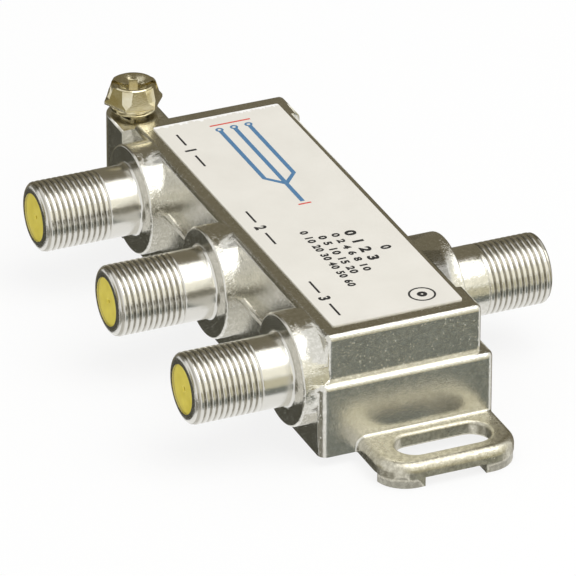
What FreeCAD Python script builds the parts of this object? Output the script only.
# Coaxial splitter: a die-cast housing with one input port and three output ports.
# Units are millimetres. X runs along the housing, Z is up, the output ports point to -Y
# and the input port points to +Y. The four feet stand on Z = 0.

import math
import os

import FreeCAD
import Part

V = FreeCAD.Vector

# Ports
port_pitch = 25.4
port_axis_z = 10.8
input_port_x = 13.4
barrel_length = 13.7
thread_d = 9.525
bore_d = 6.6
tip_rounding = 0.9
base_rounding = 0.45
collar_d = 15.0
collar_drop = 0.15
collar_projection = 2.0
collar_rounding = 0.35
collar_root = 0.3

# Housing: a narrow upper tier on a wider lower tier
housing_shift_x = 0.1
outer_port_to_end = 6.95
end_step = 1.15
lower_width = 24.4
output_side_step = 1.3
input_side_step = 2.15
underside_z = 1.35
ledge_above_port_axis = 0.85
top_above_port_axis = 7.4
wall = 1.65
lower_corner_r = 1.2
top_edge_r = 0.8
corner_beyond_top_edge = 0.05
between_pads_edge_r = 0.5
ledge_edge_r = 0.75

# Corner pads on the input side
pad_length = 5.8

# Mounting ears
ear_length = 9.6
ear_thickness = 2.05
ear_setback = 5.1
ear_corner_r = 4.4
ear_edge_r = 1.3
slot_from_ear_end = 5.2
slot_from_ear_low_side = 3.5
slot_from_ear_high_side = 2.7
slot_width = 5.2
slot_rim_r = 0.45
ear_root_r = 0.35
foot_length_y = 5.4
foot_depth_x = 2.1
foot_corner_depth_x = 3.6
foot_inset = 0.12

# Ground lug and screw
lug_from_end_wall = 4.35
lug_from_output_side = 1.95
lug_r = 3.68
lug_drop = 0.65
lug_edge_r = 0.3
shank_d = 3.9
shank_length = 7.5
screw_clearance = 0.05
hole_extra_depth = 1.5
washer_lift = 0.5
washer_d = 6.5
washer_thickness = 1.1
washer_hole_clearance = 0.05
head_gap = 0.03
hex_flats = 7.0
hex_turn = 23.0
hex_straight_height = 0.4
hex_taper_height = 2.25
hex_top_flats = 5.9
hex_trim_height = 0.55
hex_trim_d = 7.15
crown_height = 0.15
crown_d = 5.6
dish_rim_width = 0.25
dish_floor_d = 2.4
dish_depth = 0.65
drive_turn = 67.0
drive_slot_width = 0.8
drive_slot_below_dish = 0.25
drive_cross_width = 1.15
drive_cross_length = 3.1
drive_cross_below_dish = 0.7

# Back cover
cover_thickness = 0.8
cover_inset = 0.85
seat_corner_r = 0.8
cover_gap = 0.05
cover_recess_from_rim = 0.1
cover_panel_rise = 0.5
cover_flange_width = 2.6

# Label
label_far_margin = 2.6
label_near_margin = 2.3
label_output_margin = 1.85
label_input_margin = 0.95
label_thickness = 0.15
label_corner_r = 0.35

# Circuit board and what stands on it
board_thickness = 1.2
board_below_port_axis = 4.6
board_gap = 0.2
board_corner_r = 0.8
tail_hole_d = 1.3

# Port inserts
insert_gap = 0.02
insulator_recess = 0.25
insulator_length = 8.75
insulator_entry_d = 0.5
insulator_entry_length = 0.7
insulator_dimple_width = 0.3
insulator_dimple_depth = 0.15
contact_d = 3.0
contact_gap = 0.03
contact_hole_d = 1.1
contact_hole_depth = 8.0
bead_length = 4.0
bead_flange_d = 8.6
bead_flange_thickness = 0.8
tail_d = 0.9
tail_inset = 2.2
tail_below_board = 0.5

# Ferrite cores with windings
core_d = 7.0
core_hole_d = 3.0
core_thickness = 3.2
core_y = 0.6
core_from_port = (7.9, 0.0, -4.9)
wire_side = 0.35
wire_gap = 0.06
turn_angles = (20.0, 55.0, 90.0, 125.0, 160.0)

# Small parts on the board
resistor_size = (3.2, 1.6, 0.6)
resistor_xs = (-8.8, 9.6)
resistor_gap = 0.4
capacitor_d = 4.4
capacitor_thickness = 1.6
capacitor_from_wall = 3.4
capacitor_gap = 0.6
capacitor_lead_side = 0.5
capacitor_lead_spacing = 2.4
capacitor_lift = 1.0

# Sizes that follow from the ones above
output_xs = (-port_pitch, 0.0, port_pitch)
upper_far_x = housing_shift_x - port_pitch - outer_port_to_end
upper_near_x = housing_shift_x + port_pitch + outer_port_to_end
lower_far_x = upper_far_x - end_step
lower_near_x = upper_near_x + end_step
lower_half_x = (lower_near_x - lower_far_x) / 2
lower_half_y = lower_width / 2
upper_output_side_y = output_side_step - lower_half_y
upper_input_side_y = lower_half_y - input_side_step
ledge_z = port_axis_z + ledge_above_port_axis
top_z = port_axis_z + top_above_port_axis
upper_corner_r = top_edge_r + corner_beyond_top_edge
pad_reach = upper_corner_r
board_top_z = port_axis_z - board_below_port_axis
collar_front_y = lower_half_y + collar_projection
port_tip_y = collar_front_y + barrel_length
insulator_front_y = port_tip_y - insulator_recess
insulator_entry_y = insulator_front_y - insulator_entry_length
ear_reach = lower_half_x + ear_length
ear_low_y = ear_setback - lower_half_y
slot_x = ear_reach - slot_from_ear_end
slot_low_y = ear_low_y + slot_from_ear_low_side
slot_high_y = lower_half_y - slot_from_ear_high_side
slot_y = (slot_low_y + slot_high_y) / 2
slot_length = slot_high_y - slot_low_y
foot_clear_y = slot_length / 2 + slot_rim_r + 0.1
lug_x = upper_far_x - lug_from_end_wall
lug_y = upper_output_side_y + lug_from_output_side
thread_r = thread_d / 2
bore_r = bore_d / 2
collar_r = collar_d / 2
collar_axis_z = port_axis_z - collar_drop
ear_top_z = underside_z + ear_thickness
lug_top_z = top_z - lug_drop
cavity_top_z = top_z - wall
cavity_far_x = upper_far_x + wall
cavity_near_x = upper_near_x - wall
cavity_output_y = upper_output_side_y + wall
cavity_input_y = upper_input_side_y - wall
seat_z = underside_z + cover_recess_from_rim + cover_thickness
seat_far_x = lower_far_x + cover_inset
seat_near_x = lower_near_x - cover_inset
seat_half_y = lower_half_y - cover_inset
tray_far_x = lower_far_x + wall
tray_near_x = lower_near_x - wall
tray_half_y = lower_half_y - wall
tail_end_z = board_top_z - board_thickness - tail_below_board
winding_reach_y = core_thickness / 2 + wire_gap + wire_side
resistor_y = core_y - winding_reach_y - resistor_gap - resistor_size[1] / 2
capacitor_y = core_y + winding_reach_y + capacitor_gap + capacitor_thickness / 2
capacitor_xs = (cavity_far_x + capacitor_from_wall, cavity_near_x - capacitor_from_wall)


def rounded_rectangle(x0, x1, y0, y1, r, z):
    # A face with four equal corner arcs, made as straight edges and three-point arcs.
    k = r * (1 - math.sqrt(0.5))
    edges = [
        Part.LineSegment(V(x0 + r, y0, z), V(x1 - r, y0, z)),
        Part.Arc(V(x1 - r, y0, z), V(x1 - k, y0 + k, z), V(x1, y0 + r, z)),
        Part.LineSegment(V(x1, y0 + r, z), V(x1, y1 - r, z)),
        Part.Arc(V(x1, y1 - r, z), V(x1 - k, y1 - k, z), V(x1 - r, y1, z)),
        Part.LineSegment(V(x1 - r, y1, z), V(x0 + r, y1, z)),
        Part.Arc(V(x0 + r, y1, z), V(x0 + k, y1 - k, z), V(x0, y1 - r, z)),
        Part.LineSegment(V(x0, y1 - r, z), V(x0, y0 + r, z)),
        Part.Arc(V(x0, y0 + r, z), V(x0 + k, y0 + k, z), V(x0 + r, y0, z)),
    ]
    wire = Part.Wire([edge.toShape() for edge in edges])
    return Part.Face(wire)


def block(x0, x1, y0, y1, z0, z1):
    return Part.makeBox(x1 - x0, y1 - y0, z1 - z0, V(x0, y0, z0))


def round_block(x0, x1, y0, y1, z0, z1, r):
    return rounded_rectangle(x0, x1, y0, y1, r, z0).extrude(V(0, 0, z1 - z0))


def edges_at_height(shape, z):
    # Every edge that lies wholly in the level plane at z.
    found = []
    for edge in shape.Edges:
        box = edge.BoundBox
        if abs(box.ZMin - z) < 1e-4 and abs(box.ZMax - z) < 1e-4:
            found.append(edge)
    return found


def soften_top(shape, z, r):
    return shape.makeFillet(r, edges_at_height(shape, z))


def turned(points, x, z, side):
    # A solid of revolution about a port axis. Points are (radius, distance from Y = 0)
    # and the distance is measured outwards on the given side.
    wire = Part.makePolygon([V(x + r, side * y, z) for r, y in points + points[:1]])
    return Part.Face(wire).revolve(V(x, 0, z), V(0, 1, 0), 360)


def port_side(x):
    # The three output ports point to -Y, the input port to +Y.
    if x == input_port_x:
        return 1
    return -1


def inner_wall_y(side):
    if side > 0:
        return cavity_input_y
    return -cavity_output_y


def outer_wall_y(side):
    if side > 0:
        return upper_input_side_y
    return -upper_output_side_y


def upper_tier():
    # The block reaches out to the faces of two corner pads on the input side, and what stands
    # between the pads is cut back to the long wall.
    reach_y = upper_input_side_y + pad_reach
    tier = round_block(upper_far_x, upper_near_x, upper_output_side_y, reach_y,
                       underside_z, top_z, upper_corner_r)
    tier = soften_top(tier, top_z, top_edge_r)
    x0 = upper_far_x + pad_length
    x1 = upper_near_x - pad_length
    tier = tier.cut(block(x0, x1, upper_input_side_y, reach_y + 1, underside_z - 1, top_z + 1))
    between = []
    for edge in edges_at_height(tier, top_z):
        box = edge.BoundBox
        if abs(box.YMin - upper_input_side_y) < 1e-4 and abs(box.YMax - upper_input_side_y) < 1e-4:
            between.append(edge)
    return tier.makeFillet(between_pads_edge_r, between)


def lower_tier():
    tier = round_block(lower_far_x, lower_near_x, -lower_half_y, lower_half_y,
                       underside_z, ledge_z, lower_corner_r)
    return soften_top(tier, ledge_z, ledge_edge_r)


def collar(x):
    # A round flange on the outside of a long wall, rooted a little way into it.
    side = port_side(x)
    root = outer_wall_y(side) - collar_root
    solid = Part.makeCylinder(collar_r, collar_front_y - root, V(x, side * root, collar_axis_z),
                              V(0, side, 0))
    front = []
    for edge in solid.Edges:
        box = edge.BoundBox
        if abs(box.YMin - side * collar_front_y) < 1e-4 and abs(box.YMax - side * collar_front_y) < 1e-4:
            front.append(edge)
    return solid.makeFillet(collar_rounding, front)


def arc_points(cr, cy, r, start, end, steps):
    # Points along a quarter arc in the (radius, distance) plane of a turned solid.
    points = []
    for i in range(steps + 1):
        a = math.radians(start + (end - start) * i / steps)
        points.append((cr + r * math.cos(a), cy + r * math.sin(a)))
    return points


def barrel(x):
    # The threaded barrel, with a hollow curve where it meets its collar and a rounded tip.
    side = port_side(x)
    inner = inner_wall_y(side)
    steps = 4
    profile = [(0.0, inner), (thread_r + base_rounding, inner)]
    profile += arc_points(thread_r + base_rounding, collar_front_y + base_rounding, base_rounding,
                          270, 180, steps)
    profile += arc_points(thread_r - tip_rounding, port_tip_y - tip_rounding, tip_rounding,
                          0, 90, steps)
    profile.append((0.0, port_tip_y))
    return turned(profile, x, port_axis_z, side)


def ear_outline(side, z0, z1, inset):
    # Plan of one ear: flush with the lower tier on the input side, two large outer corners.
    reach = side * (ear_reach - inset)
    inner = side * (lower_half_x - lower_corner_r - 1.0)
    r = ear_corner_r - inset
    k = r * (1 - math.sqrt(0.5))
    y0 = ear_low_y + inset
    y1 = lower_half_y - inset
    edges = [
        Part.LineSegment(V(inner, y0, z0), V(reach - side * r, y0, z0)),
        Part.Arc(V(reach - side * r, y0, z0), V(reach - side * k, y0 + k, z0), V(reach, y0 + r, z0)),
        Part.LineSegment(V(reach, y0 + r, z0), V(reach, y1 - r, z0)),
        Part.Arc(V(reach, y1 - r, z0), V(reach - side * k, y1 - k, z0), V(reach - side * r, y1, z0)),
        Part.LineSegment(V(reach - side * r, y1, z0), V(inner, y1, z0)),
        Part.LineSegment(V(inner, y1, z0), V(inner, y0, z0)),
    ]
    face = Part.Face(Part.Wire([edge.toShape() for edge in edges]))
    return face.extrude(V(0, 0, z1 - z0))


def ear(side):
    plate = ear_outline(side, underside_z, ear_top_z, 0.0).cut(ear_slot(side))
    outer = []
    rim = []
    for edge in edges_at_height(plate, ear_top_z) + edges_at_height(plate, underside_z):
        middle = edge.valueAt((edge.FirstParameter + edge.LastParameter) / 2)
        beyond_slot_x = abs(middle.x - side * slot_x) > slot_width / 2 + 0.1
        beyond_slot_y = abs(middle.y - slot_y) > slot_length / 2 + 0.1
        if not (beyond_slot_x or beyond_slot_y):
            rim.append(edge)
        elif abs(middle.x) > lower_near_x and middle.z > underside_z + 0.1:
            outer.append(edge)
    return plate.makeFillet(ear_edge_r, outer).makeFillet(slot_rim_r, rim)


def lower_tier_with_ears():
    # The ears meet the end walls of the lower tier in a hollow curve.
    solid = lower_tier().multiFuse([ear(-1), ear(1)]).removeSplitter()
    roots = []
    for edge in solid.Edges:
        box = edge.BoundBox
        at_end_wall = box.XLength < 1e-4 and (abs(box.XMin - lower_near_x) < 1e-4
                                              or abs(box.XMin - lower_far_x) < 1e-4)
        if at_end_wall and box.YMin > ear_low_y - 1e-4 and box.ZMax < ear_top_z + 1e-4 and \
                box.ZLength + box.YLength > 1e-3 and box.ZMax > underside_z + 0.1:
            roots.append(edge)
    return solid.makeFillet(ear_root_r, roots)


def feet(side):
    # Two short feet under the outer edge of an ear, one at each end of its slot. Each is
    # set in a little from the ear's outline and runs round the corner, clear of the slot.
    top = underside_z + 0.5
    pad = ear_outline(side, 0.0, top, foot_inset)
    beyond = ear_reach + 1
    solids = []
    for y_end, y_long, y_corner in (
            (ear_low_y - 1, ear_low_y + foot_length_y, slot_y - foot_clear_y),
            (lower_half_y + 1, lower_half_y - foot_length_y, slot_y + foot_clear_y)):
        blocks = []
        for depth, y in ((foot_depth_x, y_long), (foot_corner_depth_x, y_corner)):
            xs = sorted((side * (ear_reach - depth), side * beyond))
            ys = sorted((y_end, y))
            blocks.append(block(xs[0], xs[1], ys[0], ys[1], 0.0, top))
        solids.append(pad.common(blocks[0].fuse(blocks[1])).removeSplitter())
    return solids


def ear_slot(side):
    half_run = (slot_length - slot_width) / 2
    r = slot_width / 2
    x = side * slot_x
    depth = ear_top_z + 2
    middle = block(x - r, x + r, slot_y - half_run, slot_y + half_run, -1.0, depth - 1)
    low = Part.makeCylinder(r, depth, V(x, slot_y - half_run, -1.0))
    high = Part.makeCylinder(r, depth, V(x, slot_y + half_run, -1.0))
    return middle.multiFuse([low, high]).removeSplitter()


def ground_lug():
    # A round-ended post at the far end, joined to the end wall over its full height.
    post = Part.makeCylinder(lug_r, lug_top_z - underside_z, V(lug_x, lug_y, underside_z))
    bridge = block(lug_x, upper_far_x + 0.5, lug_y - lug_r, lug_y + lug_r, underside_z, lug_top_z)
    lug = post.fuse(bridge).removeSplitter()
    rim = []
    for edge in edges_at_height(lug, lug_top_z):
        middle = edge.valueAt((edge.FirstParameter + edge.LastParameter) / 2)
        if middle.x < upper_far_x:
            rim.append(edge)
    return lug.makeFillet(lug_edge_r, rim)


def screw_hole():
    depth = shank_length - washer_thickness - washer_lift + hole_extra_depth
    r = shank_d / 2 + screw_clearance
    return Part.makeCylinder(r, depth + 1, V(lug_x, lug_y, lug_top_z - depth))


def housing():
    solid = lower_tier_with_ears().multiFuse([upper_tier(), ground_lug()] + feet(-1) + feet(1))
    ports = list(output_xs) + [input_port_x]
    solid = solid.multiFuse([collar(x) for x in ports] + [barrel(x) for x in ports])
    cuts = [
        block(cavity_far_x, cavity_near_x, cavity_output_y, cavity_input_y, 0.0, cavity_top_z),
        block(tray_far_x, tray_near_x, -tray_half_y, tray_half_y, 0.0, board_top_z),
        round_block(seat_far_x, seat_near_x, -seat_half_y, seat_half_y, 0.0, seat_z, seat_corner_r),
        screw_hole(),
    ]
    for x in ports:
        side = port_side(x)
        cuts.append(Part.makeCylinder(bore_r, port_tip_y + 1, V(x, 0, port_axis_z), V(0, side, 0)))
    return solid.cut(Part.makeCompound(cuts)).removeSplitter()


def back_cover():
    # A pressed plate with a raised panel, let into the open underside.
    x0 = seat_far_x + cover_gap
    x1 = seat_near_x - cover_gap
    y = seat_half_y - cover_gap
    low = seat_z - cover_thickness
    plate = round_block(x0, x1, -y, y, low, seat_z, seat_corner_r - cover_gap)
    x0 = tray_far_x + cover_flange_width
    x1 = tray_near_x - cover_flange_width
    y = tray_half_y - cover_flange_width
    t = cover_thickness
    panel = round_block(x0, x1, -y, y, low, seat_z + cover_panel_rise, 1.0)
    hollow = round_block(x0 + t, x1 - t, -y + t, y - t, low, low + cover_panel_rise, 0.6)
    return plate.fuse(panel).cut(hollow).removeSplitter()


def label():
    return round_block(upper_far_x + label_far_margin, upper_near_x - label_near_margin,
                       upper_output_side_y + label_output_margin,
                       upper_input_side_y - label_input_margin,
                       top_z, top_z + label_thickness, label_corner_r)


def clamp_washer():
    # A captive washer that rides under the head of the ground screw.
    low = lug_top_z + washer_lift
    ring = Part.makeCylinder(washer_d / 2, washer_thickness, V(lug_x, lug_y, low))
    hole_r = shank_d / 2 + washer_hole_clearance
    hole = Part.makeCylinder(hole_r, washer_thickness, V(lug_x, lug_y, low))
    return ring.cut(hole)


def hexagon(flats, z):
    corner_r = flats / 2 / math.cos(math.radians(30))
    points = []
    for i in range(7):
        a = math.radians(60 * i + hex_turn)
        points.append(V(lug_x + corner_r * math.cos(a), lug_y + corner_r * math.sin(a), z))
    return Part.makePolygon(points)


def hexagon_head(z0):
    # A hexagon that tapers to a low crown, with its corners trimmed by a cone.
    z1 = z0 + hex_straight_height
    z2 = z1 + hex_taper_height
    z3 = z2 + crown_height
    foot = Part.Face(hexagon(hex_flats, z0)).extrude(V(0, 0, hex_straight_height))
    taper = Part.makeLoft([hexagon(hex_flats, z1), hexagon(hex_top_flats, z2)], True, True)
    corner_r = hex_flats / 2 / math.cos(math.radians(30))
    outline = [
        V(lug_x, lug_y, z0),
        V(lug_x + corner_r, lug_y, z0),
        V(lug_x + corner_r, lug_y, z1),
        V(lug_x + hex_trim_d / 2, lug_y, z1 + hex_trim_height),
        V(lug_x + hex_top_flats / 2 * 1.04, lug_y, z2),
        V(lug_x, lug_y, z2),
        V(lug_x, lug_y, z0),
    ]
    envelope = Part.Face(Part.makePolygon(outline)).revolve(V(lug_x, lug_y, 0), V(0, 0, 1), 360)
    crown = Part.makeCone(hex_top_flats / 2, crown_d / 2, z3 - z2, V(lug_x, lug_y, z2))
    return foot.fuse(taper).common(envelope).fuse(crown)


def drive_cut(length, width, depth, turn, top):
    # A straight groove across the middle of the screw's head, for a driver's blade.
    cut = block(-length / 2, length / 2, -width / 2, width / 2, -depth, 1.0)
    cut.rotate(V(0, 0, 0), V(0, 0, 1), turn)
    cut.translate(V(lug_x, lug_y, top))
    return cut


def ground_screw():
    # The top is dished, and takes a flat blade across the whole head or a cross-head driver.
    z0 = lug_top_z + washer_lift + washer_thickness + head_gap
    top = z0 + hex_straight_height + hex_taper_height + crown_height
    head = hexagon_head(z0)
    shank = Part.makeCylinder(shank_d / 2, shank_length, V(lug_x, lug_y, z0 - shank_length))
    dish = Part.makeCone(dish_floor_d / 2, crown_d / 2 - dish_rim_width, dish_depth,
                         V(lug_x, lug_y, top - dish_depth))
    slot_depth = dish_depth + drive_slot_below_dish
    cross_depth = dish_depth + drive_cross_below_dish
    cuts = [
        drive_cut(hex_flats * 2, drive_slot_width, slot_depth, drive_turn, top),
        drive_cut(drive_cross_length, drive_cross_width, cross_depth, drive_turn, top),
        drive_cut(drive_cross_length, drive_cross_width, cross_depth, drive_turn + 90, top),
    ]
    return head.fuse(shank).cut(dish.multiFuse(cuts)).removeSplitter()


def insulator(x):
    # The coloured plug at a port's mouth: a dimple, a small hole and a pocket for the contact.
    r = bore_r - insert_gap
    entry_r = insulator_entry_d / 2
    pocket_r = contact_d / 2 + contact_gap
    inner = insulator_front_y - insulator_length
    profile = [
        (pocket_r, inner),
        (r, inner),
        (r, insulator_front_y),
        (entry_r + insulator_dimple_width, insulator_front_y),
        (entry_r, insulator_front_y - insulator_dimple_depth),
        (entry_r, insulator_entry_y),
        (pocket_r, insulator_entry_y),
    ]
    return turned(profile, x, port_axis_z, port_side(x))


def bead(x):
    # The inner bead closes the bore and carries the back of the contact.
    side = port_side(x)
    wall_y = inner_wall_y(side)
    r = bore_r - insert_gap
    hole_r = contact_d / 2 + contact_gap
    profile = [
        (hole_r, wall_y - bead_flange_thickness),
        (bead_flange_d / 2, wall_y - bead_flange_thickness),
        (bead_flange_d / 2, wall_y),
        (r, wall_y),
        (r, wall_y + bead_length),
        (hole_r, wall_y + bead_length),
    ]
    return turned(profile, x, port_axis_z, side)


def contact(x):
    # A socket on the port axis whose tail bends down through the board.
    side = port_side(x)
    mouth = insulator_entry_y - contact_gap
    back = inner_wall_y(side) - bead_flange_thickness - 0.4
    tail_y = inner_wall_y(side) - tail_inset
    profile = [
        (0.0, back),
        (contact_d / 2, back),
        (contact_d / 2, mouth),
        (contact_hole_d / 2 + 0.3, mouth),
        (contact_hole_d / 2, mouth - 0.5),
        (contact_hole_d / 2, mouth - contact_hole_depth),
        (0.0, mouth - contact_hole_depth),
    ]
    socket = turned(profile, x, port_axis_z, side)
    r = tail_d / 2
    run = Part.makeCylinder(r, back - tail_y, V(x, side * tail_y, port_axis_z), V(0, side, 0))
    elbow = Part.makeSphere(r, V(x, side * tail_y, port_axis_z))
    drop = Part.makeCylinder(r, port_axis_z - tail_end_z, V(x, side * tail_y, tail_end_z))
    return socket.multiFuse([run, elbow, drop]).removeSplitter()


def circuit_board():
    x0 = tray_far_x + board_gap
    x1 = tray_near_x - board_gap
    y = tray_half_y - board_gap
    board = round_block(x0, x1, -y, y, board_top_z - board_thickness, board_top_z, board_corner_r)
    holes = []
    for port in list(output_xs) + [input_port_x]:
        side = port_side(port)
        tail_y = side * (inner_wall_y(side) - tail_inset)
        holes.append(Part.makeCylinder(tail_hole_d / 2, board_thickness,
                                       V(port, tail_y, board_top_z - board_thickness)))
    return board.cut(Part.makeCompound(holes))


def core(x):
    # A ferrite ring standing on edge on the board, its axis along Y.
    z = board_top_z + core_d / 2
    y0 = core_y - core_thickness / 2
    ring = Part.makeCylinder(core_d / 2, core_thickness, V(x, y0, z), V(0, 1, 0))
    hole = Part.makeCylinder(core_hole_d / 2, core_thickness, V(x, y0, z), V(0, 1, 0))
    return ring.cut(hole)


def winding(x):
    # Turns of wire, each a square loop around the section of the ring.
    z = board_top_z + core_d / 2
    inner = core_hole_d / 2 - wire_gap
    outer = core_d / 2 + wire_gap
    half = core_thickness / 2 + wire_gap
    w = wire_side
    loops = []
    for angle in turn_angles:
        shell = block(inner - w, outer + w, -half - w, half + w, -w / 2, w / 2)
        opening = block(inner, outer, -half, half, -w, w)
        loop = shell.cut(opening)
        loop.rotate(V(0, 0, 0), V(0, 1, 0), -angle)
        loop.translate(V(x, core_y, z))
        loops.append(loop)
    first = block(x + outer, x + outer + w, core_y - half - w, core_y - half, board_top_z, z + 1.5)
    last = block(x - outer - w, x - outer, core_y - half - w, core_y - half, board_top_z, z + 1.5)
    return loops[0].multiFuse(loops[1:] + [first, last]).removeSplitter()


def resistor(x):
    length, width, height = resistor_size
    return block(x - length / 2, x + length / 2, resistor_y - width / 2, resistor_y + width / 2,
                 board_top_z, board_top_z + height)


def capacitor(x):
    # A coated disc on two stiff leads.
    y = capacitor_y
    z = board_top_z + capacitor_lift + capacitor_d / 2
    disc = Part.makeCylinder(capacitor_d / 2, capacitor_thickness,
                             V(x, y - capacitor_thickness / 2, z), V(0, 1, 0))
    h = capacitor_lead_side / 2
    leads = []
    for side in (-1, 1):
        lx = x + side * capacitor_lead_spacing / 2
        leads.append(block(lx - h, lx + h, y - h, y + h, board_top_z, z))
    return disc.multiFuse(leads).removeSplitter()


def all_nodes():
    nodes = {
        "housing": housing(),
        "back_cover": back_cover(),
        "label": label(),
        "clamp_washer": clamp_washer(),
        "ground_screw": ground_screw(),
        "circuit_board": circuit_board(),
    }
    names = ("output_1", "output_2", "output_3", "input")
    for name, x in zip(names, list(output_xs) + [input_port_x]):
        nodes["insulator_" + name] = insulator(x)
        nodes["contact_" + name] = contact(x)
        nodes["bead_" + name] = bead(x)
    for number, (port_x, offset) in enumerate(zip(output_xs, core_from_port), 1):
        nodes["core_" + str(number)] = core(port_x + offset)
        nodes["winding_" + str(number)] = winding(port_x + offset)
    for number, x in enumerate(resistor_xs, 1):
        nodes["resistor_" + str(number)] = resistor(x)
    for number, x in enumerate(capacitor_xs, 1):
        nodes["capacitor_" + str(number)] = capacitor(x)
    return nodes


os.makedirs("parts", exist_ok=True)
for node, shape in all_nodes().items():
    print(node, "solids", len(shape.Solids), "volume", round(shape.Volume, 2), "valid", shape.isValid())
    shape.exportStep("parts/" + node + ".step")
